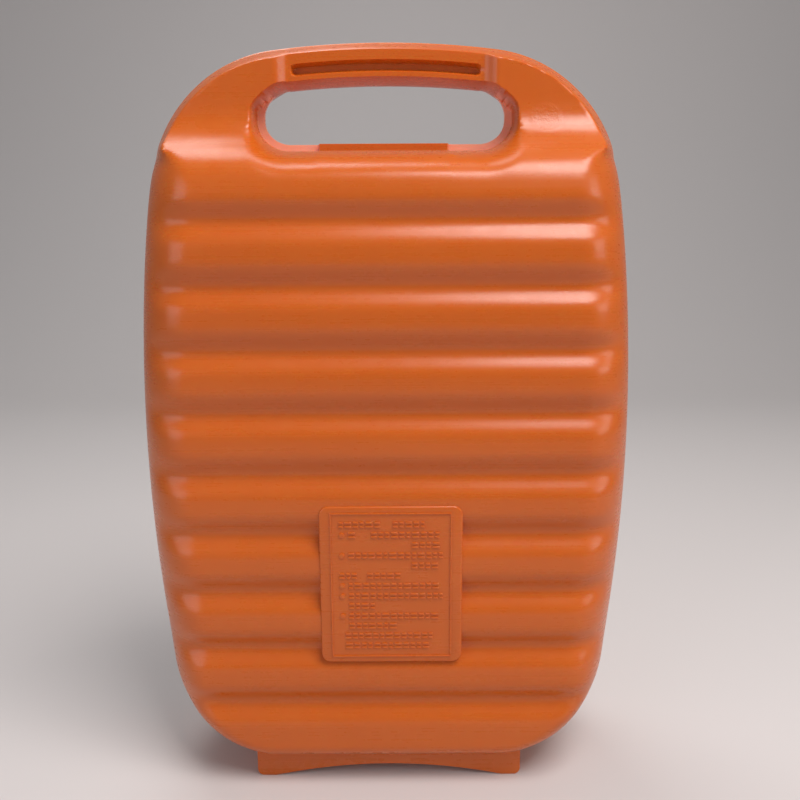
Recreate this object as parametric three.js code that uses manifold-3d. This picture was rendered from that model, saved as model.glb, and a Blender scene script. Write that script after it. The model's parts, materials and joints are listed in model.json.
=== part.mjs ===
// A rigid polyethylene hot-water bottle that stands on its foot. The blow-moulded bottle is ribbed
// across both faces and has a hand hole under its crown, a label panel on the -Y face and, in a dish
// on the +Y face, a tilted neck. A screw cap closes the neck onto a soft washer.
// Millimetres, +Z up. The origin is on the floor, under the middle of the foot.
import * as THREE from "three";
import { ParametricGeometry } from "three/addons/geometries/ParametricGeometry.js";
import { mergeVertices } from "three/addons/utils/BufferGeometryUtils.js";
import Module from "manifold-3d";

const wasm = await Module();
wasm.setup();

const { clamp, degToRad, lerp, smoothstep } = THREE.MathUtils;

// ---------- driving dimensions ----------

const height = 310.6; // floor to crown
const wall = 2.4; // thickness of the blown wall
const orange = 0xe2682c;

// The outline on the parting plane, from the crown to the underside, as tangent arcs.
// Each one turns the outline's heading on to the angle `until`, in degrees from level.
const outlineArcs = [
  { radius: 380, until: 6.8 }, // crown
  { radius: 59.5, until: 67.3 }, // shoulder corner
  { radius: 20, until: 80.8 }, // end of the shoulder
  { radius: 732, until: 97.6 }, // bowed side
  { radius: 54, until: 172 }, // bottom corner
];

const body = {
  halfDepth: 37, // parting plane to the crest of a rib
  sideRound: 24, // how far in from the parting line the sides round over
  bottomRound: 12, // the same at the underside
  roundPower: 2,
};

const rib = {
  count: 9, // valleys on each face
  first: 39.5, // height of the lowest valley
  pitch: 25.1,
  depth: 3.8,
  sharpness: 4, // even power that narrows a valley and broadens a crest
  fade: 20, // how far in from the parting line the ribs reach full depth
};

const handle = {
  halfDepth: 12,
  shoulder: 264.4, // height where the body starts to thin
  thinning: 28, // height over which it thins
  thinPower: 3.5,
  easing: 7, // how softly the thinning starts
  draft: 0.43, // width of the drafted edge to its depth, on the grip
  lowDraft: 0.33, // the same at the shoulders
  edgePower: 1.12, // 1 is a straight draft
  crispUntil: 0.42, // share of the body's thickness at which the edge starts to round
};

const hole = {
  halfWidth: 49,
  bottom: 271.3,
  height: 23,
  corner: 10.5,
  flange: 2.9, // width of the thin web left round the cut
  flangeHalf: 1.1, // half of that web's thickness
  flareSides: 20, // how much wider the opening is at each end where it meets the faces
  flareBottom: 6.7,
  flareTop: 2.4,
};

const grip = {
  halfWidth: 41.3, // the bar's faces are set back between these
  setBack: 3,
  grooveHalfWidth: 37.4,
  grooveHeight: 3.9,
  grooveMiddle: 300.6, // height of the groove at the middle of the bar
  grooveDepth: 3.5,
};

const foot = { halfWidth: 58, halfDepth: 28, pad: 8, arch: 5.5, corner: 3, sunk: 10 };

const panel = { x: 1.7, z: 93.7, width: 58.3, height: 68, corner: 3.5, proud: 0.5 };

const neck = {
  tilt: 25, // of the axis over level, in degrees
  mouth: { y: 24.7, z: 245.5 }, // centre of the lip
  length: 12, // lip to the dish's floor
  outer: 18,
  bore: 15,
  dish: 27, // radius of the dish's floor
  dishDraft: 20, // degrees
};

const thread = {
  lead: 5,
  rootWidth: 2.4,
  crestWidth: 1,
  neckCrest: 19.5,
  neckStart: -10.4, // along the axis from the lip
  neckTurns: 1.6,
  capCrest: 18.7,
  capStart: -7.2,
  capTurns: 1.1,
  runOut: 0.12, // of a turn, over which each end tapers away
};

const cap = {
  outer: 22.6,
  inner: 20.2,
  skirt: -10.5, // along the axis from the lip
  roofUnder: 2.4,
  top: 4.8,
  topRound: 1.6,
  dishRadius: 16.5, // shallow recess in the top
  dishDepth: 1,
  plugOuter: 13.7, // rib that centres the washer and enters the bore
  plugInner: 12.3,
  plugEnd: -1.5,
  grips: 18,
  gripRadius: 1.4,
  gripInset: 0.6, // from each end of the skirt
};

const washer = { inner: 14.2, outer: 18.4, bottom: 0.3, top: 2.1 };

const aroundBody = 32; // facets round the bottle
const aroundCavity = 24;
const aroundNeck = 36;

// ---------- solids ----------

function solidOf(geometry) {
  const bare = geometry.clone();
  bare.deleteAttribute("normal");
  bare.deleteAttribute("uv");
  const merged = mergeVertices(bare, 1e-3);
  const kept = [];
  const index = merged.index.array;
  for (let i = 0; i < index.length; i += 3) {
    const [a, b, c] = index.slice(i, i + 3);
    if (a !== b && b !== c && a !== c) kept.push(a, b, c);
  }
  return new wasm.Manifold(
    new wasm.Mesh({
      numProp: 3,
      vertProperties: merged.attributes.position.array,
      triVerts: new Uint32Array(kept),
    }),
  );
}

function geometryOf(solid) {
  const mesh = solid.getMesh();
  const geometry = new THREE.BufferGeometry();
  geometry.setAttribute("position", new THREE.BufferAttribute(mesh.vertProperties, 3));
  geometry.setIndex(new THREE.BufferAttribute(mesh.triVerts, 1));
  return geometry;
}

// An extrusion of a shape drawn in X and Z, running from y = from to y = to.
function slab(shape, from, to, curveSegments = 8) {
  const geometry = new THREE.ExtrudeGeometry(shape, {
    depth: to - from,
    bevelEnabled: false,
    curveSegments,
  });
  geometry.rotateX(Math.PI / 2); // the shape's Y becomes Z, and the extrusion runs along -Y
  geometry.translate(0, to, 0);
  return geometry;
}

// A closed profile of [radius, height] corners turned round the Y axis.
function turned(corners, segments = aroundNeck) {
  const points = corners.map(([r, y]) => new THREE.Vector2(r, y));
  return new THREE.LatheGeometry(points, segments);
}

// A closed solid through rows of points that match one for one, capped with fans at both ends.
function lofted(rows, flipped) {
  const around = rows[0].length;
  const positions = rows.flat().flatMap((p) => p.toArray());
  const index = [];
  const face = (a, b, c) => index.push(...(flipped ? [a, c, b] : [a, b, c]));
  for (let i = 0; i + 1 < rows.length; i++) {
    for (let k = 0; k < around; k++) {
      const here = i * around + k;
      const next = i * around + ((k + 1) % around);
      face(here, here + around, next);
      face(next, here + around, next + around);
    }
  }
  for (const [row, turn] of [[0, 1], [rows.length - 1, 0]]) {
    const centre = new THREE.Vector3();
    for (const p of rows[row]) centre.addScaledVector(p, 1 / around);
    const middle = positions.push(...centre.toArray()) / 3 - 1;
    for (let k = 0; k < around; k++) {
      const a = row * around + k;
      const b = row * around + ((k + 1) % around);
      face(middle, turn ? a : b, turn ? b : a);
    }
  }
  const geometry = new THREE.BufferGeometry();
  geometry.setAttribute("position", new THREE.Float32BufferAttribute(positions, 3));
  geometry.setIndex(index);
  return geometry;
}

function roundedRectangle(cx, cz, width, tall, radius) {
  const shape = new THREE.Shape();
  const right = cx + width / 2 - radius;
  const left = cx - width / 2 + radius;
  const high = cz + tall / 2 - radius;
  const low = cz - tall / 2 + radius;
  shape.absarc(right, low, radius, -Math.PI / 2, 0);
  shape.absarc(right, high, radius, 0, Math.PI / 2);
  shape.absarc(left, high, radius, Math.PI / 2, Math.PI);
  shape.absarc(left, low, radius, Math.PI, 1.5 * Math.PI);
  return shape;
}

// ---------- the bottle's outer form ----------

// Points of the right half of the outline, from the crown down to the underside.
function outlinePoints(steps = 40) {
  const points = [];
  let heading = 0;
  let x = 0;
  let z = height;
  for (const { radius, until } of outlineArcs) {
    const cx = x - radius * Math.sin(degToRad(heading));
    const cz = z - radius * Math.cos(degToRad(heading));
    for (let i = 0; i < steps; i++) {
      const a = degToRad(lerp(heading, until, i / steps));
      points.push(new THREE.Vector2(cx + radius * Math.sin(a), cz + radius * Math.cos(a)));
    }
    heading = until;
    x = cx + radius * Math.sin(degToRad(until));
    z = cz + radius * Math.cos(degToRad(until));
  }
  points.push(new THREE.Vector2(x, z));
  return points;
}

const outline = outlinePoints();
const underside = outline[outline.length - 1].y; // the body's lowest height over the floor

function halfWidthAt(z) {
  const last = outline[outline.length - 1];
  if (z <= last.y) return last.x;
  const i = outline.findIndex((p, k) => k > 0 && p.y <= z);
  const upper = outline[i - 1];
  const lower = outline[i];
  return lerp(lower.x, upper.x, (z - lower.y) / (upper.y - lower.y));
}

// Distance in from the outline to a point on the parting plane.
function insetOf(x, z) {
  const p = new THREE.Vector2(Math.abs(x), z);
  let least = p.y - underside;
  for (let i = 1; i < outline.length; i++) {
    const a = outline[i - 1];
    const ab = outline[i].clone().sub(a);
    const t = clamp(p.clone().sub(a).dot(ab) / ab.lengthSq(), 0, 1);
    least = Math.min(least, p.distanceTo(a.clone().addScaledVector(ab, t)));
  }
  return Math.max(least, 0);
}

// 0 at an edge, rising as a superellipse to 1 at one radius in.
function roundOver(inset, radius, power) {
  const u = 1 - clamp(inset / radius, 0, 1);
  return Math.pow(1 - Math.pow(u, power), 1 / power);
}

function ribValley(z) {
  const phase = (z - rib.first) / rib.pitch;
  if (phase < -0.5 || phase > rib.count - 0.5) return 0;
  return Math.pow(Math.cos(Math.PI * phase), rib.sharpness);
}

// Parting plane to the face at a point, before the features are cut. `shrink` offsets it inwards.
function halfDepthAt(x, z, shrink = 0) {
  const inset = insetOf(x, z) - shrink;
  const over = z - handle.shoulder;
  const eased = (over + Math.hypot(over, handle.easing)) / 2;
  const thick = Math.pow(1 - clamp(eased / handle.thinning, 0, 1), handle.thinPower);
  const valley = rib.depth * ribValley(z) * smoothstep(inset, 0, rib.fade);
  const full = lerp(handle.halfDepth, body.halfDepth, thick) - valley - shrink;
  const bodyRound = lerp(body.bottomRound, body.sideRound, smoothstep(z, 15, 75));
  const swell = smoothstep(thick, handle.crispUntil, 1);
  const draft = lerp(handle.draft, handle.lowDraft, clamp(thick / handle.crispUntil, 0, 1));
  const radius = lerp(draft * full, bodyRound - shrink, swell);
  const power = lerp(handle.edgePower, body.roundPower, swell);
  return roundOver(inset, radius, power) * full;
}

// Heights of the form's rings: `perRib` of them to each rib, and closer ones over each end.
function ringHeights(perRib, low, high) {
  const heights = [];
  for (let i = 0; i <= rib.count * perRib; i++) {
    heights.push(rib.first - rib.pitch / 2 + (i * rib.pitch) / perRib);
  }
  const bottom = heights[0];
  const top = heights[heights.length - 1];
  const under = [0.1, 0.25, 0.5, 0.75].map((t) => lerp(low, bottom, t));
  const over = [0.06, 0.12, 0.18, 0.24, 0.32, 0.44, 0.58, 0.72, 0.83, 0.91, 0.96, 0.985, 0.997]
    .map((t) => lerp(top, high, t));
  return [low, ...under, ...heights, ...over, high];
}

// The closed form itself, of level rings stacked up the bottle, or with `shrink` the hollow inside it.
function pillow(perRib, around, shrink) {
  const heights = ringHeights(perRib, underside + shrink, height - shrink);
  const place = (u, v, target) => {
    const z = heights[Math.round(v * (heights.length - 1))];
    const turn = u * 2 * Math.PI;
    const reach = z >= height - shrink ? 0 : Math.max(halfWidthAt(z) - shrink, 0);
    const x = reach * Math.cos(turn);
    const side = Math.abs(Math.sin(turn)) < 1e-6 ? 0 : Math.sign(Math.sin(turn));
    target.set(x, side * halfDepthAt(x, z, shrink), z);
  };
  return new ParametricGeometry(place, around, heights.length - 1);
}

// ---------- features of the bottle ----------

// The hand hole's outline, let out by `ends` and `under`. Its top edge is crowned like the handle.
function holeShape(ends = 0, under = 0, over = 0) {
  const shape = new THREE.Shape();
  const halfWidth = hole.halfWidth + ends;
  const low = hole.bottom - under;
  const high = hole.bottom + hole.height + over;
  const corner = Math.min(hole.corner + ends, (high - low) / 2 - 0.5);
  const inner = halfWidth - corner;
  const drop = Math.min((inner * inner) / (2 * outlineArcs[0].radius), high - low - 2 * corner);
  shape.absarc(inner, low + corner, corner, -Math.PI / 2, 0);
  shape.absarc(inner, high - corner - drop, corner, 0, Math.PI / 2 - 0.1);
  shape.quadraticCurveTo(0, high + drop, -inner, high - drop);
  shape.absarc(-inner, high - corner - drop, corner, Math.PI / 2 + 0.1, Math.PI);
  shape.absarc(-inner, low + corner, corner, Math.PI, 1.5 * Math.PI);
  return shape;
}

// The opening from the web out through one face, flaring as it goes. `grow` thickens it.
function holeFlare(side, grow = 0) {
  const near = Math.max(hole.flangeHalf - grow, 0);
  const far = body.halfDepth + 3;
  const steps = 5;
  const rows = [];
  for (let i = 0; i <= steps; i++) {
    const t = i / steps;
    const shape = holeShape(
      hole.flange + hole.flareSides * t * t + grow,
      hole.flange + hole.flareBottom * t + grow,
      hole.flareTop * Math.min(1, 4 * t) + grow,
    );
    const y = side * lerp(near, far, t);
    rows.push(shape.getPoints(5).map((p) => new THREE.Vector3(p.x, y, p.y)));
  }
  return lofted(rows, side < 0);
}

// A band that follows the crown: `drop` below the crown's line, `tall` high.
function crownBand(halfWidth, middle, tall) {
  const centre = height - outlineArcs[0].radius;
  const radius = middle - centre;
  const spread = Math.asin(halfWidth / radius);
  const shape = new THREE.Shape();
  const half = tall / 2;
  shape.absarc(0, centre, radius + half, Math.PI / 2 - spread, Math.PI / 2 + spread);
  shape.absarc(0, centre, radius - half, Math.PI / 2 + spread, Math.PI / 2 - spread, true);
  return shape;
}

// The cuts that thin the grip bar and sink its groove, in both faces. `grow` thickens them.
function gripCuts(grow = 0) {
  const far = body.halfDepth + 5;
  const face = handle.halfDepth - grip.setBack;
  const barTall = 20 + 2 * grow;
  const grooveTall = grip.grooveHeight + 2 * grow;
  const bar = crownBand(grip.halfWidth + grow, grip.grooveMiddle + 1, barTall);
  const groove = crownBand(grip.grooveHalfWidth + grow, grip.grooveMiddle, grooveTall);
  const cuts = [];
  for (const [shape, depth] of [[bar, face], [groove, face - grip.grooveDepth]]) {
    cuts.push(slab(shape, depth - grow, far), slab(shape, -far, grow - depth));
  }
  return cuts;
}

// The foot under the body: two flat pads joined by an arch.
function footShape(inset = 0) {
  const right = foot.halfWidth - inset;
  const low = inset;
  const high = underside + foot.sunk;
  const corner = foot.corner;
  const shape = new THREE.Shape();
  shape.moveTo(-right, high);
  shape.lineTo(-right, low + corner);
  shape.quadraticCurveTo(-right, low, -right + corner, low);
  shape.lineTo(-right + foot.pad, low);
  shape.quadraticCurveTo(0, low + 2 * foot.arch, right - foot.pad, low);
  shape.lineTo(right - corner, low);
  shape.quadraticCurveTo(right, low, right, low + corner);
  shape.lineTo(right, high);
  return shape;
}

// ---------- neck, thread and cap, along the neck's own Y axis with the lip at 0 ----------

// A ridge that climbs a right-hand helix. It stands on the radius `root` and ends at the radius `crest`.
function helicalRidge({ root, crest, start, turns, segments }) {
  const steps = Math.round(turns * segments);
  const positions = [];
  const outwards = crest > root;
  const sunk = outwards ? root - 0.6 : root + 0.6; // the foot is buried in the wall it stands on
  for (let i = 0; i <= steps; i++) {
    const turn = (i / steps) * turns;
    const full = Math.min(1, turn / thread.runOut, (turns - turn) / thread.runOut);
    const tip = lerp(root + (outwards ? 0.05 : -0.05), crest, full);
    const y = start + turn * thread.lead;
    const section = [
      [sunk, y - thread.rootWidth / 2],
      [tip, y - thread.crestWidth / 2],
      [tip, y + thread.crestWidth / 2],
      [sunk, y + thread.rootWidth / 2],
    ];
    for (const [r, h] of section) {
      const a = turn * 2 * Math.PI;
      positions.push(r * Math.cos(a), h, -r * Math.sin(a));
    }
  }
  const index = [];
  const quad = (a, b, c, d) => index.push(a, b, c, a, c, d);
  for (let i = 0; i < steps; i++) {
    for (let k = 0; k < 4; k++) {
      const here = 4 * i + k;
      const next = 4 * i + ((k + 1) % 4);
      quad(here, next, next + 4, here + 4);
    }
  }
  quad(0, 3, 2, 1);
  quad(4 * steps, 4 * steps + 1, 4 * steps + 2, 4 * steps + 3);
  if (!outwards) index.reverse();
  const geometry = new THREE.BufferGeometry();
  geometry.setAttribute("position", new THREE.Float32BufferAttribute(positions, 3));
  geometry.setIndex(index);
  return geometry;
}

function neckRidge() {
  return helicalRidge({
    root: neck.outer,
    crest: thread.neckCrest,
    start: thread.neckStart,
    turns: thread.neckTurns,
    segments: 24,
  });
}

// The dish round the neck, as the solid that cuts it. `grow` thickens it for the wall behind.
function dishCutter(grow = 0) {
  const floor = -neck.length - grow;
  const reach = 60;
  const spread = (reach - floor) * Math.tan(degToRad(neck.dishDraft));
  const radius = neck.dish + grow;
  return turned([[0, floor], [radius, floor], [radius + spread, reach], [0, reach]]);
}

function bottleBody(neckFrame) {
  const inNeckFrame = (geometry) => solidOf(geometry.applyMatrix4(neckFrame.matrix));
  const post = turned([[0, -neck.length - 3], [neck.outer, -neck.length - 3], [neck.outer, 0], [0, 0]]);
  const boreEnd = -neck.length - wall - 4;
  const bore = turned([[0, boreEnd], [neck.bore, boreEnd], [neck.bore, 1], [0, 1]]);
  const panelShape = roundedRectangle(panel.x, panel.z, panel.width, panel.height, panel.corner);
  const panelFace = -body.halfDepth - panel.proud;

  let outside = solidOf(pillow(4, aroundBody, 0))
    .add(solidOf(slab(footShape(), -foot.halfDepth, foot.halfDepth)))
    .add(solidOf(slab(panelShape, panelFace, -body.halfDepth + rib.depth + 2)))
    .subtract(inNeckFrame(dishCutter()))
    .add(inNeckFrame(post))
    .add(inNeckFrame(neckRidge()))
    .subtract(solidOf(slab(holeShape(), -60, 60)));

  const footCavity = slab(footShape(wall), wall - foot.halfDepth, foot.halfDepth - wall);
  let inside = solidOf(pillow(2, aroundCavity, wall))
    .add(solidOf(footCavity))
    .subtract(inNeckFrame(dishCutter(wall)))
    .add(inNeckFrame(bore))
    .subtract(solidOf(slab(holeShape(hole.flange + wall, hole.flange + wall, wall), -60, 60)));

  for (const side of [-1, 1]) {
    outside = outside.subtract(solidOf(holeFlare(side)));
    inside = inside.subtract(solidOf(holeFlare(side, wall)));
  }
  for (const cut of gripCuts()) outside = outside.subtract(solidOf(cut));
  for (const cut of gripCuts(wall)) inside = inside.subtract(solidOf(cut));
  return geometryOf(outside.subtract(inside));
}

function screwCap() {
  const rim = cap.top - cap.topRound;
  const recess = cap.top - cap.dishDepth;
  let made = solidOf(
    turned([
      [0, cap.roofUnder],
      [cap.plugInner, cap.roofUnder],
      [cap.plugInner, cap.plugEnd],
      [cap.plugOuter, cap.plugEnd],
      [cap.plugOuter, cap.roofUnder],
      [cap.inner, cap.roofUnder],
      [cap.inner, cap.skirt],
      [cap.outer, cap.skirt],
      [cap.outer, rim],
      [cap.outer - 0.3 * cap.topRound, rim + 0.7 * cap.topRound],
      [cap.outer - cap.topRound, cap.top],
      [cap.dishRadius + cap.dishDepth, cap.top],
      [cap.dishRadius, recess],
      [0, recess],
    ]),
  );
  const gripTall = rim - cap.skirt - 2 * cap.gripInset;
  for (let i = 0; i < cap.grips; i++) {
    const a = (i / cap.grips) * 2 * Math.PI;
    const lobe = new THREE.CylinderGeometry(cap.gripRadius * 0.8, cap.gripRadius, gripTall, 8);
    lobe.translate(cap.outer * Math.cos(a), (rim + cap.skirt) / 2, cap.outer * Math.sin(a));
    made = made.add(solidOf(lobe));
  }
  const ridge = helicalRidge({
    root: cap.inner,
    crest: thread.capCrest,
    start: thread.capStart,
    turns: thread.capTurns,
    segments: 24,
  });
  return geometryOf(made.add(solidOf(ridge)));
}

function sealingWasher() {
  return turned([
    [washer.inner, washer.bottom],
    [washer.outer, washer.bottom],
    [washer.outer, washer.top],
    [washer.inner, washer.top],
    [washer.inner, washer.bottom],
  ]);
}

// ---------- the assembly ----------

function namedMesh(name, geometry, material) {
  const mesh = new THREE.Mesh(geometry, new THREE.MeshStandardMaterial(material));
  mesh.name = name;
  return mesh;
}

const neckFrame = new THREE.Group();
neckFrame.position.set(0, neck.mouth.y, neck.mouth.z);
neckFrame.rotation.x = degToRad(neck.tilt);
neckFrame.updateMatrix();
neckFrame.add(
  namedMesh("screw_cap", screwCap(), { color: orange, roughness: 0.4, metalness: 0 }),
  namedMesh("sealing_washer", sealingWasher(), { color: 0xd9d6cc, roughness: 0.7, metalness: 0 }),
);

const bottle = new THREE.Group();
bottle.add(
  namedMesh("bottle_body", bottleBody(neckFrame), { color: orange, roughness: 0.35, metalness: 0 }),
  neckFrame,
);

export default bottle;
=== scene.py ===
# Rigid blow-moulded hot-water bottle with ribbed faces, a hand hole, a foot and a tilted screw neck behind.
# Sizes in the dictionaries are millimetres. The finished meshes are in metres, in the frame's own axes.
import json
import math

import bmesh
import bpy
from mathutils import Matrix, Vector


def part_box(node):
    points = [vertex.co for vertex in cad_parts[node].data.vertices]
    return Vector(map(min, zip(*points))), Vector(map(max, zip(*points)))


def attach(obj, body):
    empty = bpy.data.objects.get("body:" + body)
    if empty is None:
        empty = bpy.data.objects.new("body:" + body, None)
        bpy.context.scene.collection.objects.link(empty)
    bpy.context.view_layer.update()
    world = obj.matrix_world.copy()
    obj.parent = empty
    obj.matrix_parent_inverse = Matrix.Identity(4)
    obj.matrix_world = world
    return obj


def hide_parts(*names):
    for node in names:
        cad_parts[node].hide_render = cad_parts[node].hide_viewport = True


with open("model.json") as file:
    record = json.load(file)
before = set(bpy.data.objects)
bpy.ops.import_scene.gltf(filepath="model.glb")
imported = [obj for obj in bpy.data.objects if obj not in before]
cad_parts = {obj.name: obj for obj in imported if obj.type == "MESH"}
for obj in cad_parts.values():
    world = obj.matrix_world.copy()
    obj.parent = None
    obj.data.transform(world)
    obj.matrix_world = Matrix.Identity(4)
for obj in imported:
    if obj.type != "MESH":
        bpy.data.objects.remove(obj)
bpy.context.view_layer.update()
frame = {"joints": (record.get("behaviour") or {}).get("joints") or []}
mm = 0.001

bodyLow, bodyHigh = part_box("bottle_body")
capTurn = next(joint for joint in frame["joints"] if joint["name"] == "cap_turn")
lip = Vector(capTurn["pos_m"])  # centre of the neck's lip
neckAxis = Vector(capTurn["axis"]).normalized()
neckPlace = Matrix.Translation(lip) @ Vector((0, 0, 1)).rotation_difference(neckAxis).to_matrix().to_4x4()


# small tools

def clamp(value, low=0.0, high=1.0):
    return max(low, min(high, value))


def lerp(a, b, t):
    return a + (b - a) * t


def smooth(value, low, high):
    t = clamp((value - low) / (high - low))
    return t * t * (3 - 2 * t)


def deselectAll():
    if bpy.context.mode != "OBJECT":
        bpy.ops.object.mode_set(mode="OBJECT")
    bpy.ops.object.select_all(action="DESELECT")


def pickUp(piece):
    deselectAll()
    piece.select_set(True)
    bpy.context.view_layer.objects.active = piece
    return piece


def newest(name):
    piece = bpy.context.active_object
    piece.name = name
    piece.data.name = name
    return piece


def applyModifier(piece, kind, **settings):
    pickUp(piece)
    modifier = piece.modifiers.new(kind.title(), kind)
    for key, value in settings.items():
        setattr(modifier, key, value)
    bpy.ops.object.modifier_apply(modifier=modifier.name)


def combine(piece, other, operation):
    applyModifier(piece, "BOOLEAN", operation=operation, solver="EXACT", object=other)
    bpy.data.objects.remove(other)


def joinPieces(pieces):
    if len(pieces) == 1:
        return pieces[0]
    deselectAll()
    for piece in pieces:
        piece.select_set(True)
    bpy.context.view_layer.objects.active = pieces[0]
    bpy.ops.object.join()
    return pieces[0]


def editAll(piece):
    pickUp(piece)
    bpy.ops.object.mode_set(mode="EDIT")
    bpy.ops.mesh.select_all(action="SELECT")


def endEdit():
    bpy.ops.object.mode_set(mode="OBJECT")


def pointNormalsOut(piece):
    editAll(piece)
    bpy.ops.mesh.remove_doubles(threshold=0.002 * mm)
    bpy.ops.mesh.normals_make_consistent(inside=False)
    endEdit()


def selectFaces(piece, wanted):
    # in edit mode: only the faces whose centre and normal pass the test
    bpy.ops.mesh.select_mode(type="FACE")
    mesh = bmesh.from_edit_mesh(piece.data)
    for face in mesh.faces:
        face.select_set(wanted(face.calc_center_median() / mm, face.normal))
    mesh.select_flush_mode()
    bmesh.update_edit_mesh(piece.data)


def selectEdges(piece, wanted):
    bpy.ops.mesh.select_mode(type="EDGE")
    bpy.ops.mesh.select_all(action="DESELECT")
    mesh = bmesh.from_edit_mesh(piece.data)
    for edge in mesh.edges:
        a, b = edge.verts
        edge.select_set(wanted(a.co / mm, b.co / mm, edge))
    bmesh.update_edit_mesh(piece.data)


def settle(piece, matrix=None):
    # puts a finished piece's place into its mesh
    if matrix is not None:
        piece.matrix_world = matrix
    pickUp(piece)
    bpy.ops.object.transform_apply(location=True, rotation=True, scale=True)


def finishPiece(piece, body, material, smoothAngle=35):
    pickUp(piece)
    bpy.ops.object.shade_smooth_by_angle(angle=math.radians(smoothAngle))
    piece.data.materials.clear()
    piece.data.materials.append(material)
    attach(piece, body)


# the shell's form

form = {
    "crown": bodyHigh.z / mm,
    # radius of each arc, and its heading in degrees at its end
    "outlineArcs": [(380, 6.8), (59.5, 67.3), (20, 80.8), (732, 97.6), (54, 172)],
    "halfDepth": 37,
    "sideRound": 24,
    "bottomRound": 12,
    "wall": 2.4,
    "flash": 0.3,  # the parting line stands this proud
    "seam": 252,  # height where the ribbed field meets the handle's
    "leastDepth": 0.35,  # the first points in from the parting line stand at least this far off it
}

ribs = {"count": 9, "first": 39.5, "pitch": 25.1, "depth": 3.8, "sharpness": 4, "fade": 20}

handle = {
    "halfDepth": 12,
    "shoulder": 264.4,
    "thinning": 28,
    "thinPower": 3.5,
    "easing": 7,
    "draft": 0.43,  # the rim slopes in this much for each mm of depth
    "lowDraft": 0.33,  # the same near the body
    "edgePower": 1.12,
    "crispUntil": 0.42,  # the rim stays crisp up to this share of the body's thickness
    "barOffset": 0.8,
    "barTop": 44.2,  # where the step down to the bar starts
    "barFloor": 38.4,
    "setBack": 3,
    "grooveHalfWidth": 37.4,
    "grooveHeight": 3.9,
    "grooveMiddle": 300.6,
    "grooveDepth": 3.5,
    "grooveCorner": 1.7,
}

hole = {
    "halfWidth": 49,
    "bottom": 271.3,
    "height": 23,
    "corner": 10.5,
    "flange": 2.9,
    "flangeHalf": 1.1,
    "bossFrom": -27,  # the neck's boss thickens the web between these
    "bossTo": 26.4,
    "bossHalf": 5,
    "rollEnds": 1.7,
    "rollUnder": 14.5,
    "rollOver": 2.2,
}


def outlineArcs():
    arcs = []
    heading, x, z = 0.0, 0.0, form["crown"]
    for radius, until in form["outlineArcs"]:
        cx = x - radius * math.sin(heading)
        cz = z - radius * math.cos(heading)
        arcs.append((radius, heading, math.radians(until), cx, cz))
        heading = math.radians(until)
        x = cx + radius * math.sin(heading)
        z = cz + radius * math.cos(heading)
    return arcs, x, z


arcs, undersideHalf, underside = outlineArcs()
crownRadius = arcs[0][0]


def widthAt(z):
    for radius, start, end, cx, cz in arcs:
        if z >= cz + radius * math.cos(end):
            return cx + math.sqrt(max(radius ** 2 - (z - cz) ** 2, 0))
    return undersideHalf


def alongOutline(distance):
    # the point this far round from the middle of the crown
    for radius, start, end, cx, cz in arcs:
        length = radius * (end - start)
        if distance <= length:
            break
        distance -= length
    heading = start + distance / radius
    return cx + radius * math.sin(heading), cz + radius * math.cos(heading)


def outlineLengthTo(z):
    total = 0
    for radius, start, end, cx, cz in arcs:
        if z >= cz + radius * math.cos(end):
            return total + radius * (math.acos((z - cz) / radius) - start)
        total += radius * (end - start)
    return total


def insetOf(x, z):
    x = abs(x)
    least = z - underside
    for radius, start, end, cx, cz in arcs:
        heading = math.atan2(x - cx, z - cz)
        if start - 0.01 <= heading <= end + 0.01:
            least = min(least, radius - math.hypot(x - cx, z - cz))
    return max(least, 0)


def roundOver(inset, radius, power):
    u = 1 - clamp(inset / radius)
    return (1 - u ** power) ** (1 / power)


def thickness(z):
    # 1 on the body, easing to 0 at the handle
    over = z - handle["shoulder"]
    eased = (over + math.hypot(over, handle["easing"])) / 2
    return (1 - clamp(eased / handle["thinning"])) ** handle["thinPower"]


def ribValley(z):
    phase = (z - ribs["first"]) / ribs["pitch"]
    if phase < -0.5 or phase > ribs["count"] - 0.5:
        return 0
    return math.cos(math.pi * phase) ** ribs["sharpness"]


def holeGap(x, z):
    # distance outside the hand hole's edge, and how far up that edge faces: 1 over it, -1 under it
    rise = clamp((z - hole["bottom"]) / hole["height"])
    level = z + rise * x * x / (2 * crownRadius) - hole["bottom"] - hole["height"] / 2
    dx = max(abs(x) - hole["halfWidth"] + hole["corner"], 0)
    dz = max(abs(level) - hole["height"] / 2 + hole["corner"], 0)
    reach = math.hypot(dx, dz)
    up = math.copysign(dz / reach, level) if reach > 1e-6 else 0
    return reach - hole["corner"], up


def barSetBack(x, z):
    if z < hole["bottom"] + hole["height"] / 2:
        return 0
    offset = abs(x - handle["barOffset"])
    return handle["setBack"] * (1 - smooth(offset, handle["barFloor"], handle["barTop"]))


def grooveDepth(x, z):
    level = z + x * x / (2 * crownRadius) - handle["grooveMiddle"]
    corner = handle["grooveCorner"]
    dx = max(abs(x - handle["barOffset"]) - handle["grooveHalfWidth"] + corner, 0)
    dz = max(abs(level) - handle["grooveHeight"] / 2 + corner, 0)
    outside = math.hypot(dx, dz) - corner
    return handle["grooveDepth"] * (1 - smooth(outside, -0.7, 0.3))


def webHalf(x, z):
    inBoss = hole["bossFrom"] < x < hole["bossTo"] and z < hole["bottom"] + 2
    return hole["bossHalf"] if inBoss else hole["flangeHalf"]


def fullDepth(x, z):
    return lerp(handle["halfDepth"] - barSetBack(x, z), form["halfDepth"], thickness(z))


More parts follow.
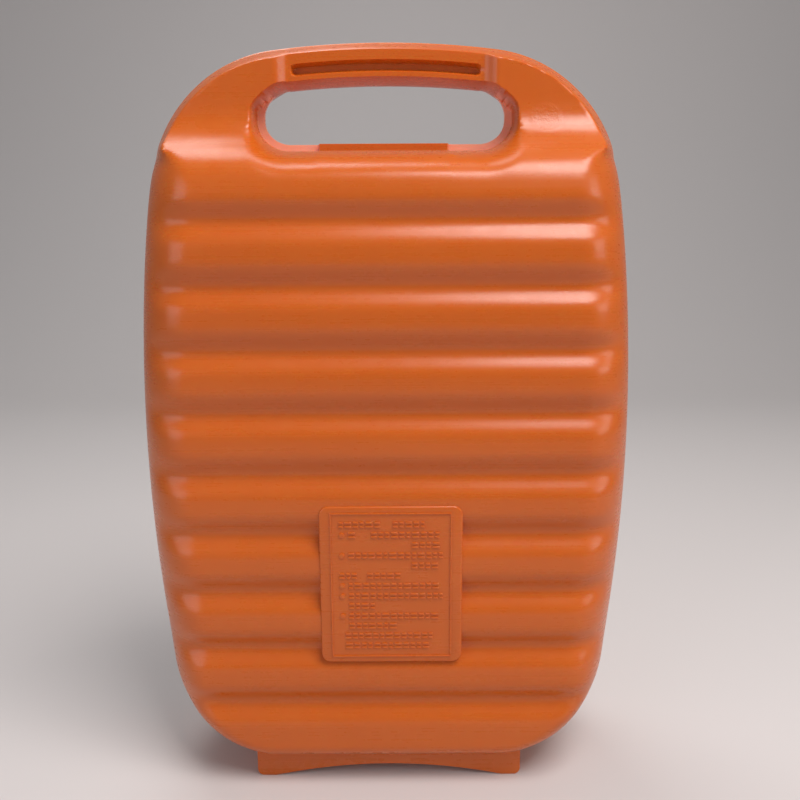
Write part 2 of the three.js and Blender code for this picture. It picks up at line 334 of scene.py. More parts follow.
def rimOf(z, full):
    # how far in from the outline the face reaches its full depth, and how crisply: 1 is a straight bevel
    thick = thickness(z)
    swell = smooth(thick, handle["crispUntil"], 1)
    draft = lerp(handle["draft"], handle["lowDraft"], clamp(thick / handle["crispUntil"]))
    bodyRound = lerp(form["bottomRound"], form["sideRound"], smooth(z, 15, 75))
    return lerp(draft * full, bodyRound, swell), lerp(handle["edgePower"], 2, swell)


def bodyDepth(x, z, shrink=0):
    # parting plane to the face before the hand hole is let in
    inset = insetOf(x, z) - shrink
    valley = ribs["depth"] * ribValley(z) * smooth(inset, 0, ribs["fade"])
    full = fullDepth(x, z) - valley - shrink
    radius, power = rimOf(z, full)
    return full * roundOver(inset, radius - shrink, power)


def faceDepth(x, z):
    depth = bodyDepth(x, z)
    if z < form["seam"]:
        return depth
    gap, up = holeGap(x, z)
    flange = hole["flange"] * (1 - smooth(up, 0.1, 0.95))
    if up > 0:
        roll, rollPower = lerp(hole["rollEnds"], hole["rollOver"], up), lerp(2, 1.1, up)
    else:
        roll, rollPower = lerp(hole["rollEnds"], hole["rollUnder"], up * up), lerp(2, 2.6, -up)
    web = min(webHalf(x, z), depth)
    depth = lerp(web, depth, roundOver(gap - flange, roll, rollPower))
    return depth - grooveDepth(x, z)


# the shell's mesh: two grids that share the seam, mirrored through the parting plane

grids = {
    "across": 128,
    "ribRow": 1.3,  # height of a row of the ribbed field
    "sideColumns": 56,
    "barColumn": 0.75,
    "nearHole": [-0.5, 0, 0.3, 1.2, 2.2, 2.7, 2.9, 2.92, 2.97, 3.06, 3.2, 3.4, 3.65, 3.95, 4.3, 4.7, 5.3],
    # in widths of the rim
    "nearRim": [1.25, 1.12, 1.05, 1.0, 0.94, 0.82, 0.66, 0.5, 0.34, 0.2, 0.1, 0.03, 0],
    "between": 18,
}


def columnX(i, halfWidth, across):
    return halfWidth * math.sin(math.pi * (i / across - 0.5))


def gridOf(name, columns, rows, place):
    # a flat grid whose points are then set by place(column, row)
    deselectAll()
    bpy.ops.mesh.primitive_grid_add(x_subdivisions=columns, y_subdivisions=rows, size=2)
    piece = newest(name)
    for vertex in piece.data.vertices:
        column = round((vertex.co.x + 1) / 2 * columns)
        row = round((vertex.co.y + 1) / 2 * rows)
        vertex.co = Vector(place(column, row)) * mm
    return piece


def ribbedField():
    across = grids["across"]
    rim = [form["bottomRound"] * (1 - math.cos(math.pi / 2 * i / 10)) for i in range(10)]
    start = underside + form["bottomRound"]
    count = round((form["seam"] - start) / grids["ribRow"])
    heights = [underside + drop for drop in rim]
    heights += [lerp(start, form["seam"], i / count) for i in range(count + 1)]

    def place(column, row):
        z = heights[row - 1] if row else underside - form["flash"]
        halfWidth = widthAt(max(z, underside))
        if row == 0 or column in (0, across + 2):
            side = -1 if column == 0 else 1
            edge = halfWidth + form["flash"]
            x = side * edge if column in (0, across + 2) else columnX(column - 1, halfWidth, across)
            return x, 0, z
        x = columnX(column - 1, halfWidth, across)
        return x, -max(faceDepth(x, z), form["leastDepth"]), z

    return gridOf("ribbedField", across + 2, len(heights), place)


def holeEdge(turn):
    # a point of the hole's right half: turn runs from straight up at 0 to straight down at pi, past its end
    inner = hole["halfWidth"] - hole["corner"]
    spread = hole["height"] / 2 - hole["corner"]
    middle = hole["bottom"] + hole["height"] / 2
    level = middle + math.copysign(spread, math.cos(turn)) + hole["corner"] * math.cos(turn)
    x = inner + hole["corner"] * math.sin(turn)
    crowned = x * x / (2 * crownRadius * hole["height"])
    return x, (level + hole["bottom"] * crowned) / (1 + crowned)


def handleColumns():
    # round the right half from under the hole: the turn and point on the hole's edge, then the point on the
    # seam or the outline that faces it
    inner = hole["halfWidth"] - hole["corner"]
    lowTurn = math.radians(50)
    seamHalf = widthAt(form["seam"])
    pathLength = inner + hole["corner"] * lowTurn
    pairs = []
    for i in range(grids["across"] // 2, grids["across"] + 1):
        x = columnX(i, seamHalf, grids["across"])
        along = pathLength * x / seamHalf
        turn, edge = math.pi, (along, hole["bottom"])
        if along > inner:
            turn = math.pi - (along - inner) / hole["corner"]
            edge = holeEdge(turn)
        pairs.append((turn, edge, (x, form["seam"])))
    pairs.append((turn, edge, (seamHalf + form["flash"], form["seam"])))
    barEnd = arcs[0][0] * arcs[0][2]  # along the outline, where the crown's arc ends
    barX = alongOutline(barEnd)[0]
    highTurn = math.asin((barX - inner) / hole["corner"])
    lowEnd = outlineLengthTo(form["seam"])
    steps = grids["sideColumns"]
    for i in range(1, steps):
        turn = lerp(math.pi - lowTurn, highTurn, i / steps)
        pairs.append((turn, holeEdge(turn), alongOutline(lerp(lowEnd, barEnd, i / steps))))
    count = round(barX / grids["barColumn"])
    for i in range(count + 1):
        x = barX * (1 - i / count)
        z = arcs[0][4] + math.sqrt(crownRadius ** 2 - x * x)
        turn, edge = 0, (x, hole["bottom"] + hole["height"] - x * x / (2 * crownRadius))
        if x > inner:
            turn = math.asin((x - inner) / hole["corner"])
            edge = holeEdge(turn)
        pairs.append((turn, edge, (x, z)))
    return pairs


def handleField():
    right = handleColumns()
    left = [(-turn, (-a, b), (-c, d)) for turn, (a, b), (c, d) in reversed(right[1:-1])]
    columns = right + left + right[:1]
    corner = grids["across"] // 2 + 1  # the pair on the parting line, just past the seam's end
    near, far, between = grids["nearHole"], grids["nearRim"], grids["between"]
    rows = len(near) + between + len(far)

    def place(column, row):
        turn, (hx, hz), (ox, oz) = columns[column]
        nx, nz = math.sin(turn), math.cos(turn)
        sx, sz = hx + near[-1] * nx, hz + near[-1] * nz  # where the square-on rows round the hole end
        length = math.hypot(ox - sx, oz - sz)
        rim = clamp(rimOf(oz, fullDepth(ox, oz))[0], 3.5, 9)
        onSeam = abs(oz - form["seam"]) < 1e-6
        if row < len(near):
            x, z = hx + max(near[row], 0) * nx, hz + max(near[row], 0) * nz
        else:
            index = row - len(near)
            along = lerp(0, length - far[0] * rim, (index + 1) / (between + 1))
            if index >= between:
                along = length - far[min(index - between, len(far) - 1)] * rim
            x, z = lerp(sx, ox, along / length), lerp(sz, oz, along / length)
        if row == 0:
            return x, 0, z
        if row == rows and not onSeam:  # the parting line itself
            return x + form["flash"] * (ox - sx) / length, 0, z + form["flash"] * (oz - sz) / length
        if onSeam and (column == corner or column == len(columns) - 1 - corner) and row == rows:
            return x, 0, z
        return x, -max(faceDepth(x, z), form["leastDepth"]), z

    return gridOf("handleField", len(columns) - 1, rows, place)


def frontAndBack(pieces, name):
    piece = joinPieces(pieces)
    piece.name = name
    editAll(piece)
    bpy.ops.mesh.remove_doubles(threshold=0.02 * mm)
    endEdit()
    applyModifier(piece, "MIRROR", use_axis=(False, True, False), use_clip=True, merge_threshold=0.02 * mm)
    pointNormalsOut(piece)
    return piece


hollow = {"across": 48, "up": 84, "underHole": 9, "topRound": 12, "bottomRound": 9, "leastDepth": 0.5}


def cavity():
    # the hollow inside, coarser, up to just under the hand hole
    across, up = hollow["across"], hollow["up"]
    low, high = underside + form["wall"], hole["bottom"] - hollow["underHole"]

    def place(column, row):
        z = lerp(low, high, row / up)
        ending = row in (0, up)
        x = columnX(clamp(column, 1, across - 1) if ending else column, widthAt(z) - form["wall"], across)
        if ending or column in (0, across):
            return x, 0, z
        closing = roundOver(high - z, hollow["topRound"], 2) * roundOver(z - low, hollow["bottomRound"], 2)
        return x, -max(bodyDepth(x, z, form["wall"]) * closing, hollow["leastDepth"]), z

    return frontAndBack([gridOf("cavityField", across, up, place)], "cavity")


# the foot, the raised panel and the neck

foot = {"halfWidth": 58, "halfDepth": 28, "height": 18, "pad": 8, "arch": 5.5, "corner": 3, "edge": 1.0}


def footBlock():
    half, corner, span = foot["halfWidth"], foot["corner"], foot["halfWidth"] - foot["pad"]
    ends = [half - corner * (1 - math.cos(math.pi / 2 * i / 6)) for i in range(6)]
    arch = [span * (i / 24 - 1) for i in range(49)]
    places = sorted([-x for x in ends] + arch + ends)

    def place(column, row):
        x = places[column]
        inFromEnd = corner - min(half - abs(x), corner)
        rounded = corner - math.sqrt(corner ** 2 - inFromEnd ** 2)
        lift = rounded + foot["arch"] * max(1 - (x / span) ** 2, 0)
        return x, -foot["halfDepth"], foot["height"] if row else lift

    piece = gridOf("foot", len(places) - 1, 1, place)
    editAll(piece)
    bpy.ops.mesh.dissolve_faces()
    bpy.ops.mesh.extrude_region_move(TRANSFORM_OT_translate={"value": (0, 2 * foot["halfDepth"] * mm, 0)})
    bpy.ops.mesh.select_all(action="SELECT")
    bpy.ops.mesh.normals_make_consistent(inside=False)
    endEdit()
    applyModifier(piece, "BEVEL", width=foot["edge"] * mm, segments=3, limit_method="ANGLE",
                  angle_limit=math.radians(40))
    return piece


panel = {
    "centre": (1.7, 93.7),
    "width": 58.3,
    "tall": 68,
    "corner": 3.8,
    "front": -37.5,
    "back": -31,
    "edge": 0.7,
    "frameWidth": 49.4,
    "frameTall": 62.8,
    "lineWidth": 0.6,
    "relief": 0.5,
    "lineEdge": 0.17,
    "rowsWide": 42.3,
    "rowPitch": 4.4,
    "barTall": 0.9,
    "barPitch": 1.7,  # from one bar of a pair to the next
    "barWidths": [1.7, 2.6, 2.1, 1.5, 2.9, 2.3, 1.9],
    "barGap": 0.75,
    "dot": 2.3,
    # each row: where its pairs of bars run across the panel, from 0 to 1, and whether a dot leads it
    "rows": [
        ([(0, 0.44), (0.52, 0.86)], False), ([(0.09, 0.17), (0.31, 1)], True), ([(0.7, 1)], False),
        ([(0.09, 1)], True), ([(0.7, 1)], False), ([(0, 0.17), (0.27, 0.61)], False), ([(0.09, 1)], True),
        ([(0.09, 1)], True), ([(0.09, 0.34)], False), ([(0.09, 1)], True), ([(0.09, 0.59)], False),
        ([(0.05, 0.92)], False), ([(0.05, 0.91)], False),
    ],
}


def raisedPlate(name, x, z, width, tall, corner, front, back, ring=0):
    # an upright rounded plate from the depth back out to the depth front, or only a ring round its edge
    deselectAll()
    bpy.ops.mesh.primitive_plane_add(size=1, location=(x * mm, front * mm, z * mm),
                                     rotation=(math.pi / 2, 0, 0))
    piece = newest(name)
    piece.scale = (width * mm, tall * mm, 1)
    settle(piece)
    editAll(piece)
    if corner:
        bpy.ops.mesh.bevel(affect="VERTICES", offset=corner * mm, segments=6)
        bpy.ops.mesh.select_all(action="SELECT")
    if ring:
        bpy.ops.mesh.inset(thickness=ring * mm)
        bpy.ops.mesh.delete(type="FACE")
        bpy.ops.mesh.select_all(action="SELECT")
    bpy.ops.mesh.extrude_region_move(TRANSFORM_OT_translate={"value": (0, (back - front) * mm, 0)})
    bpy.ops.mesh.select_all(action="SELECT")
    bpy.ops.mesh.normals_make_consistent(inside=False)
    endEdit()
    return piece


def copyTo(piece, x, z, stretch=1):
    # its own mesh, stretched sideways, with its centre at (x, z)
    twin = piece.copy()
    twin.data = piece.data.copy()
    bpy.context.scene.collection.objects.link(twin)
    twin.location = (x * mm, 0, z * mm)
    twin.scale = (stretch, 1, 1)
    return twin


def labelPanel():
    cx, cz = panel["centre"]
    plate = raisedPlate("panelPlate", cx, cz, panel["width"], panel["tall"], panel["corner"],
                        panel["front"], panel["back"])
    applyModifier(plate, "BEVEL", width=panel["edge"] * mm, segments=3, limit_method="ANGLE",
                  angle_limit=math.radians(50))
    front, back = panel["front"] - panel["relief"], panel["front"] + 0.8
    raised = [raisedPlate("frameLine", cx, cz, panel["frameWidth"], panel["frameTall"], 0, front, back,
                          panel["lineWidth"])]

    # pairs of plain bars in rows, in place of any words
    bar = raisedPlate("bar", 0, 0, 2, panel["barTall"], 0, front, back)
    dot = raisedPlate("dot", 0, 0, panel["dot"], panel["dot"], panel["dot"] / 2 - 0.1, front, back)
    for piece in (raised[0], bar, dot):
        editAll(piece)
        selectEdges(piece, lambda a, b, edge: max(a.y, b.y) < front + 0.01)
        bpy.ops.mesh.bevel(offset=panel["lineEdge"] * mm, segments=2)
        endEdit()
    left = cx - panel["rowsWide"] / 2
    widths = panel["barWidths"]
    count = 0
    for row, (runs, dotted) in enumerate(panel["rows"]):
        z = cz + ((len(panel["rows"]) - 1) / 2 - row) * panel["rowPitch"]
        if dotted:
            raised.append(copyTo(dot, left + panel["dot"] / 2, z))
        for start, end in runs:
            x = left + start * panel["rowsWide"]
            stop = left + end * panel["rowsWide"]
            while stop - x > 1.2:
                width = min(widths[count % len(widths)], stop - x)
                for level in (-0.5, 0.5):
                    raised.append(copyTo(bar, x + width / 2, z + level * panel["barPitch"], width / 2))
                x += width + panel["barGap"]
                count += 1
    for original in (bar, dot):
        bpy.data.objects.remove(original)
    relief = joinPieces(raised)
    settle(relief)
    combine(plate, relief, "UNION")
    return plate


neck = {
    "outer": 18,
    "bore": 15,
    "floor": -12,  # the dish's floor, along the axis from the lip
    "dish": 27,
    "dishDraft": 20,  # degrees
    "dishFillet": 3.5,
    "dishReach": 55,  # far enough out to clear the body
    "lipEdge": 0.7,
}

thread = {
    "lead": 5,
    "rootWidth": 2.4,
    "crestWidth": 1,
    "neckCrest": 19.5,
    "neckStart": -10.4,
    "neckTurns": 1.6,
    "capCrest": 18.7,
    "capStart": -7.2,
    "capTurns": 1.1,
    "runOut": 0.12,
    "stepsPerTurn": 72,
    "sunk": 0.6,  # the ridge's foot is this far inside its wall
}


def turnedBlock(name, radius, low, high, topRadius=None, sides=128):
    # a cylinder or cone on the neck's axis, between two heights from the lip
    deselectAll()
    bpy.ops.mesh.primitive_cone_add(vertices=sides, radius1=radius * mm, radius2=(topRadius or radius) * mm,
                                    depth=(high - low) * mm, location=(0, 0, (low + high) / 2 * mm))
    piece = newest(name)
    settle(piece)
    return piece


def rimEdges(height, radius):
    return lambda a, b, edge: (abs(a.z - height) < 0.01 and abs(b.z - height) < 0.01
                               and abs(math.hypot(a.x, a.y) - radius) < 0.05)


def dishCutter(grow=0):
    low = neck["floor"] - grow
    reach = neck["dishReach"]
    radius = neck["dish"] + grow
    widest = radius + (reach - low) * math.tan(math.radians(neck["dishDraft"]))
    piece = turnedBlock("dish", radius, low, reach, widest)
    editAll(piece)
    selectEdges(piece, rimEdges(low, radius))
    bpy.ops.mesh.bevel(offset=neck["dishFillet"] * mm, segments=6)
    endEdit()
    settle(piece, neckPlace)
    return piece


def threadRidge(name, root, crest, start, turns):
    # a ridge on a right-hand helix; its foot is buried in the wall that it stands on
    steps = round(turns * thread["stepsPerTurn"])
    outwards = 1 if crest > root else -1
    sunk = root - thread["sunk"] * outwards

    def place(column, row):
        turn = column / steps * turns
        full = min(1, turn / thread["runOut"], (turns - turn) / thread["runOut"])
        tip = lerp(root + 0.05 * outwards, crest, full)
        side = (row % 4 > 1) - (row % 4 < 2)
        onFoot = row % 4 in (0, 3)
        radius = sunk if onFoot else tip
        width = thread["rootWidth"] if onFoot else thread["crestWidth"]
        z = start + turn * thread["lead"] + side * width / 2
        return radius * math.cos(turn * 2 * math.pi), radius * math.sin(turn * 2 * math.pi), z

    piece = gridOf(name, steps, 4, place)
    editAll(piece)
    bpy.ops.mesh.remove_doubles(threshold=0.01 * mm)
    bpy.ops.mesh.select_mode(type="EDGE")
    bpy.ops.mesh.select_non_manifold()
    bpy.ops.mesh.fill_holes(sides=4)
    bpy.ops.mesh.select_all(action="SELECT")
    bpy.ops.mesh.normals_make_consistent(inside=False)
    endEdit()
    return piece


def neckPost():
    piece = turnedBlock("neckPost", neck["outer"], neck["floor"] - 3, 0)
    editAll(piece)
    selectEdges(piece, rimEdges(0, neck["outer"]))
    bpy.ops.mesh.bevel(offset=neck["lipEdge"] * mm, segments=3)
    endEdit()
    ridge = threadRidge("neckThread", neck["outer"], thread["neckCrest"], thread["neckStart"],
                        thread["neckTurns"])
    combine(piece, ridge, "UNION")
    settle(piece, neckPlace)
    return piece


def bottleShell():
    shell = frontAndBack([ribbedField(), handleField()], "bottleShell")
    combine(shell, footBlock(), "UNION")
    combine(shell, labelPanel(), "UNION")
    combine(shell, dishCutter(), "DIFFERENCE")
    combine(shell, neckPost(), "UNION")
    inside = cavity()
    combine(inside, dishCutter(form["wall"]), "DIFFERENCE")
    bore = turnedBlock("bore", neck["bore"], neck["floor"] - 12, 2)
    settle(bore, neckPlace)
    combine(inside, bore, "UNION")
    combine(shell, inside, "DIFFERENCE")
    markPinchedWebGlow(shell)
    return shell


# the cap and its washer, made on the Z axis with the lip at 0, then put on the neck

cap = {
    "outer": 22.6,
    "inner": 20.2,
    "skirt": -10.5,
    "roofUnder": 2.4,
    "top": 4.8,
    "topEdge": 1.6,
    "recess": 16.5,
    "recessDepth": 1,
    "plugOuter": 13.7,
    "plugInner": 12.3,
    "plugEnd": -1.5,
    "grips": 18,
    "gripFaces": 8,  # facets of the skirt to each grip and its gap
    "raisedFaces": 3,
    "gripProud": 1.4,
    "gripInset": 1.0,
    "edge": 0.3,
}


def extrudeAlong(height):
    bpy.ops.mesh.extrude_region_move(TRANSFORM_OT_translate={"value": (0, 0, height * mm)})


def onSkirt(centre, normal):
    return abs(normal.z) < 0.01 and math.hypot(centre.x, centre.y) > (cap["inner"] + cap["outer"]) / 2


def screwCap():
    sides = cap["grips"] * cap["gripFaces"]
    piece = turnedBlock("screwCap", cap["outer"], cap["skirt"], cap["top"], sides=sides)
    editAll(piece)

    # roll the top's rim over, then sink a shallow round recess in it
    selectEdges(piece, rimEdges(cap["top"], cap["outer"]))
    bpy.ops.mesh.bevel(offset=cap["topEdge"] * mm, segments=4)
    selectFaces(piece, lambda centre, normal: centre.z > cap["top"] - 0.01)
    bpy.ops.mesh.inset(thickness=(cap["outer"] - cap["topEdge"] - cap["recess"]) * mm)
    extrudeAlong(-cap["recessDepth"])

    # hollow the underside, then drop the plug's rib from the roof
    selectFaces(piece, lambda centre, normal: centre.z < cap["skirt"] + 0.01)
    bpy.ops.mesh.inset(thickness=(cap["outer"] - cap["inner"]) * mm)
    extrudeAlong(cap["roofUnder"] - cap["skirt"])
    bpy.ops.mesh.inset(thickness=(cap["inner"] - cap["plugOuter"]) * mm)
    extrudeAlong(cap["plugEnd"] - cap["roofUnder"])
    bpy.ops.mesh.inset(thickness=(cap["plugOuter"] - cap["plugInner"]) * mm)
    extrudeAlong(cap["roofUnder"] - cap["plugEnd"])

    # raise the grips on the outside, short of both ends
    low = cap["skirt"] + cap["gripInset"]
    high = cap["top"] - cap["topEdge"] - cap["gripInset"] / 2
    for height in (low, high):
        selectFaces(piece, onSkirt)
        bpy.ops.mesh.bisect(plane_co=(0, 0, height * mm), plane_no=(0, 0, 1))

    def onGrip(centre, normal):
        turn = math.degrees(math.atan2(centre.y, centre.x)) % 360
        face = int(turn / 360 * sides) % cap["gripFaces"]
        return onSkirt(centre, normal) and low < centre.z < high and face < cap["raisedFaces"]

    selectFaces(piece, onGrip)
    bpy.ops.mesh.extrude_region_shrink_fatten(TRANSFORM_OT_shrink_fatten={"value": cap["gripProud"] * mm})
    endEdit()
    applyModifier(piece, "BEVEL", width=cap["edge"] * mm, segments=2, limit_method="ANGLE",
                  angle_limit=math.radians(40))
    ridge = threadRidge("capThread", cap["inner"], thread["capCrest"], thread["capStart"],
                        thread["capTurns"])
    combine(piece, ridge, "UNION")
    settle(piece, neckPlace)
    return piece


washer = {"inner": 14.2, "outer": 18.4, "bottom": 0.3, "top": 2.1, "edge": 0.25}


def sealingWasher():
    piece = turnedBlock("sealingWasher", washer["outer"], washer["bottom"], washer["top"])
    opening = turnedBlock("washerBore", washer["inner"], washer["bottom"] - 1, washer["top"] + 1)
    combine(piece, opening, "DIFFERENCE")
    applyModifier(piece, "BEVEL", width=washer["edge"] * mm, segments=2, limit_method="ANGLE",
                  angle_limit=math.radians(40))
    settle(piece, neckPlace)
    return piece


# materials

def linear(hexColour):
    channels = [int(hexColour[i:i + 2], 16) / 255 for i in (1, 3, 5)]
    return [c / 12.92 if c <= 0.04045 else ((c + 0.055) / 1.055) ** 2.4 for c in channels] + [1]


def newMaterial(name):
    material = bpy.data.materials.new(name)
    material.use_nodes = True
    return material, material.node_tree.nodes["Principled BSDF"]


def addNode(material, kind, inputs=None, links=None, **settings):
    node = material.node_tree.nodes.new("ShaderNode" + kind)
    for key, value in settings.items():
        setattr(node, key, value)
    for key, value in (inputs or {}).items():
        node.inputs[key].default_value = value
    for key, source in (links or {}).items():
        material.node_tree.links.new(source, node.inputs[key])
    return node


def wire(material, source, node, socket):
    material.node_tree.links.new(source, node.inputs[socket])


def placeOf(material, scale=(1, 1, 1)):
    # object coordinates in millimetres, stretched by scale
    place = addNode(material, "TexCoord").outputs["Object"]
    stretch = [value / mm for value in scale]
    return addNode(material, "Mapping", {"Scale": stretch}, {"Vector": place}).outputs["Vector"]


def between(material, factor, low, high):
    # a grey value run from low to high as factor runs from 0 to 1
    span = addNode(material, "MapRange", {"To Min": low, "To Max": high}, {"Value": factor})
    return span.outputs["Result"]


def maths(material, operation, a, b=None):
    node = addNode(material, "Math", operation=operation)
    for i, value in enumerate([a] if b is None else [a, b]):
        if isinstance(value, (int, float)):
            node.inputs[i].default_value = value
        else:
            wire(material, value, node, i)
    return node.outputs["Value"]


def noise(material, place, size, detail, **inputs):
    # cloudy noise, 0 to 1, whose blotches are about this many mm across
    node = addNode(material, "TexNoise", {"Scale": 1 / size, "Detail": detail, **inputs}, {"Vector": place})
    return node.outputs["Fac"]


def blended(material, factor, low, high):
    # a colour run from low to high as factor runs from 0 to 1
    ends = {"A": linear(low), "B": linear(high)}
    return addNode(material, "Mix", ends, {"Factor": factor}, data_type="RGBA").outputs["Result"]


def over(material, factor, under, top):
    # the flat colour top laid over the colour under, as far as factor says
    node = addNode(material, "Mix", {"B": linear(top)}, {"Factor": factor, "A": under}, data_type="RGBA")
    return node.outputs["Result"]


def roughen(material, shader, height, distance):
    # tiny relief in the normal, this many mm deep
    bump = addNode(material, "Bump", {"Strength": 1, "Distance": distance * mm}, {"Height": height})
    wire(material, bump.outputs["Normal"], shader, "Normal")


def glowThrough(shader, ior, weight, radius, depth):
    # light that wanders this many mm under the surface
    shader.inputs["IOR"].default_value = ior
    shader.inputs["Subsurface Weight"].default_value = weight
    shader.inputs["Subsurface Radius"].default_value = radius
    shader.inputs["Subsurface Scale"].default_value = depth * mm


def near(material, place, centre, reach):
    # 1 at a point of the piece, in mm, falling to 0 this far from it
    away = addNode(material, "VectorMath", links={0: place}, operation="DISTANCE")
    away.inputs[1].default_value = centre
    span = {"From Min": reach * 0.7, "From Max": reach, "To Min": 1, "To Max": 0}
    inside = addNode(material, "MapRange", span, {"Value": away.outputs["Value"]},
                     interpolation_type="SMOOTHSTEP")
    return inside.outputs["Result"]


# reach of light under the skin in red, green and blue
orangeGlow = (1.0, 0.35, 0.12)
milkyGlow = (1.0, 0.9, 0.75)

polyethyleneLooks = {
    "streak": (0.01, 0.2, 0.8),  # stretch of the streaks: long across, short up the bottle
    "streakRelief": 0.008,
    "rubbed": ((64, -12, 279), 7.5),  # a rubbed patch's centre and reach
    "stippled": ((-82, -12, 273), 9),
    "patchRelief": 0.12,
}


def mouldedPolyethylene():
    # blow-moulded polyethylene: waxy orange, a little light in its depth, with a soft gloss drawn into fine
    # level streaks; thin where the two halves are pinched together round the hand hole, with a painted pale
    # glow there that stands in for light shining through the thin web
    material, shader = newMaterial("blow-moulded orange polyethylene")
    place = placeOf(material)
    looks = polyethyleneLooks
    body = blended(material, noise(material, place, 45, 3), "#c25a12", "#ca6217")
    # painted light: the pale pink laid over the thin web stands in for light shining through it
    web = addNode(material, "Attribute", attribute_name="pinched_web_glow").outputs["Fac"]
    colour = over(material, web, body, "#f0a68a")
    speck = noise(material, place, 1.1, 1)
    rare = {"From Min": 0.8, "From Max": 0.86, "To Max": 0.5}
    dark = addNode(material, "MapRange", rare, {"Value": speck})
    specked = over(material, dark.outputs["Result"], colour, "#7a2c0c")
    wire(material, specked, shader, "Base Color")

    streak = noise(material, placeOf(material, looks["streak"]), 1, 1, Roughness=0.5)
    scuff = noise(material, place, 9, 6, Roughness=0.65)
    gloss = maths(material, "ADD", between(material, streak, 0.13, 0.27), between(material, scuff, 0, 0.18))
    wire(material, gloss, shader, "Roughness")

    grain = noise(material, place, 0.8, 2)
    rubbed = near(material, place, *looks["rubbed"])
    stippled = maths(material, "MULTIPLY", near(material, place, *looks["stippled"]), 0.5)
    patches = maths(material, "MULTIPLY", maths(material, "ADD", rubbed, stippled), grain)
    relief = maths(material, "MULTIPLY", patches, looks["patchRelief"])
    height = maths(material, "ADD", maths(material, "MULTIPLY", streak, looks["streakRelief"]), relief)
    roughen(material, shader, height, 1)
    glowThrough(shader, 1.51, 0.3, orangeGlow, 2.5)
    return material


def markPinchedWebGlow(piece):
    # 1 on the thin web round the hand hole, outside the neck's boss: where the pale glow of light shining
    # through the web is painted
    marks = piece.data.attributes.new("pinched_web_glow", "FLOAT", "POINT")
    for index, vertex in enumerate(piece.data.vertices):
        x, y, z = vertex.co / mm
        onWeb = z > form["seam"] and abs(y) < hole["flangeHalf"] + 0.05
        if onWeb and webHalf(x, z) < hole["bossHalf"]:
            gap, up = holeGap(x, z)
            marks.data[index].value = 1.0 if gap < hole["flange"] + 0.1 and up < 0.8 else 0.0


def mouldedPolypropylene():
    # injection-moulded polypropylene: the bottle's orange a touch deeper, with faint flow clouds, a satin
    # spark-eroded grain and fine scuffs from fingers
    material, shader = newMaterial("injection-moulded orange polypropylene")
    place = placeOf(material)
    flow = noise(material, place, 14, 2, Distortion=0.6)
    wire(material, blended(material, flow, "#b04e10", "#c05a17"), shader, "Base Color")
    scuff = noise(material, place, 4, 6, Roughness=0.7)
    wire(material, between(material, scuff, 0.26, 0.46), shader, "Roughness")
    roughen(material, shader, noise(material, place, 0.35, 2), 0.012)
    glowThrough(shader, 1.49, 0.15, orangeGlow, 1.5)
    return material


def siliconeRubber():
    # moulded silicone rubber: milky off-white, soft and dull, with a little dust held on its skin
    material, shader = newMaterial("moulded silicone rubber")
    place = placeOf(material)
    cloud = noise(material, place, 8, 3)
    wire(material, blended(material, cloud, "#cfcabc", "#dedad0"), shader, "Base Color")
    dust = noise(material, place, 1.5, 5, Roughness=0.6)
    wire(material, between(material, dust, 0.5, 0.72), shader, "Roughness")
    roughen(material, shader, dust, 0.01)
    glowThrough(shader, 1.42, 0.25, milkyGlow, 1.2)
    return material


# the stage

stage = {
    "cameraPlace": (0.0057, -0.3506, 0.234),
    "pitch": 11.3,  # degrees down from level
    "roll": -0.28,
    "lens": 36.7,
    "floorTint": "#d2cecc",
    "floorSize": 3,
    "wallHeight": 2,
    "wallBend": 0.7,
    "roomTint": "#dfe1e4",
    "roomLight": 0.27,
    "aim": (0, 0, 0.16),
    # each area light: where it stands in metres, its size, its power in watts and its tint
    "lights": {
        "keyLight": ((0.34, -0.42, 1.05), 0.55, 10.4, "#fff6f4"),
        "sideLight": ((1.0, -0.5, 0.5), 0.5, 2, "#ffffff"),
        "fillLight": ((-0.9, -0.9, 0.5), 0.8, 3.3, "#f2f5ff"),
        "backLight": ((-0.25, 0.45, 1.35), 0.6, 5, "#ffffff"),
    },
}


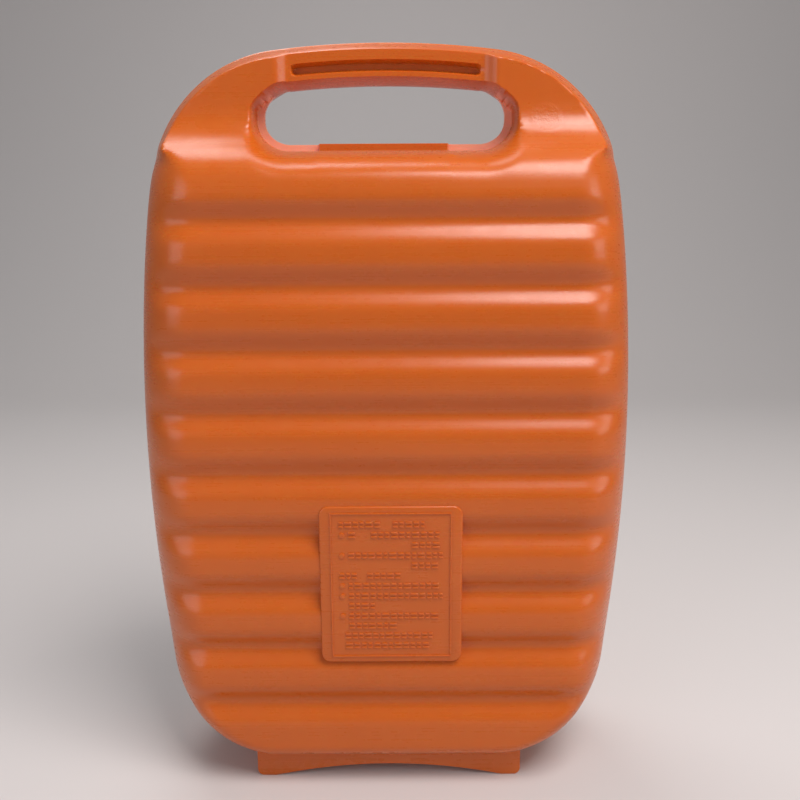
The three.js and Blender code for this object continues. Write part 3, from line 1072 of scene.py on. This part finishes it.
def buildStage():
    deselectAll()
    bpy.ops.mesh.primitive_plane_add(size=stage["floorSize"], location=(0, 0, 0))
    floor = newest("floor")
    editAll(floor)
    selectEdges(floor, lambda a, b, edge: a.y > 0 and b.y > 0)
    bpy.ops.mesh.extrude_region_move(TRANSFORM_OT_translate={"value": (0, 0, stage["wallHeight"])})
    selectEdges(floor, lambda a, b, edge: a.y > 0 and b.y > 0 and a.z == 0 and b.z == 0)
    bpy.ops.mesh.bevel(offset=stage["wallBend"], segments=16)
    endEdit()
    bpy.ops.object.shade_smooth()
    material, shader = newMaterial("pale floor")
    shader.inputs["Base Color"].default_value = linear(stage["floorTint"])
    shader.inputs["Roughness"].default_value = 0.6
    floor.data.materials.append(material)

    camera = bpy.data.objects.new("camera", bpy.data.cameras.new("camera"))
    bpy.context.scene.collection.objects.link(camera)
    camera.data.lens = stage["lens"]
    camera.data.clip_start = 0.01
    tilt = Matrix.Rotation(math.radians(90 - stage["pitch"]), 4, "X")
    camera.matrix_world = (Matrix.Translation(stage["cameraPlace"]) @ tilt
                           @ Matrix.Rotation(math.radians(stage["roll"]), 4, "Z"))
    bpy.context.scene.camera = camera
    bpy.context.scene.view_settings.view_transform = "Standard"

    world = bpy.data.worlds.new("room")
    world.use_nodes = True
    room = world.node_tree.nodes["Background"]
    room.inputs["Color"].default_value = linear(stage["roomTint"])
    room.inputs["Strength"].default_value = stage["roomLight"]
    bpy.context.scene.world = world
    for name, (place, size, power, tint) in stage["lights"].items():
        light = bpy.data.objects.new(name, bpy.data.lights.new(name, "AREA"))
        bpy.context.scene.collection.objects.link(light)
        light.location = place
        aim = Vector(stage["aim"]) - Vector(place)
        light.rotation_euler = aim.to_track_quat("-Z", "Y").to_euler()
        light.data.size = size
        light.data.energy = power
        light.data.color = linear(tint)[:3]


orange = mouldedPolyethylene()
shell = bottleShell()
print("shell:", len(shell.data.polygons), "faces")
finishPiece(shell, "bottle", orange)
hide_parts("bottle_body")

screw = screwCap()
print("cap:", len(screw.data.polygons), "faces")
finishPiece(screw, "cap", mouldedPolypropylene())
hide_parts("screw_cap")

ring = sealingWasher()
print("washer:", len(ring.data.polygons), "faces")
finishPiece(ring, "washer", siliconeRubber())
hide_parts("sealing_washer")

buildStage()
print("stage ready")
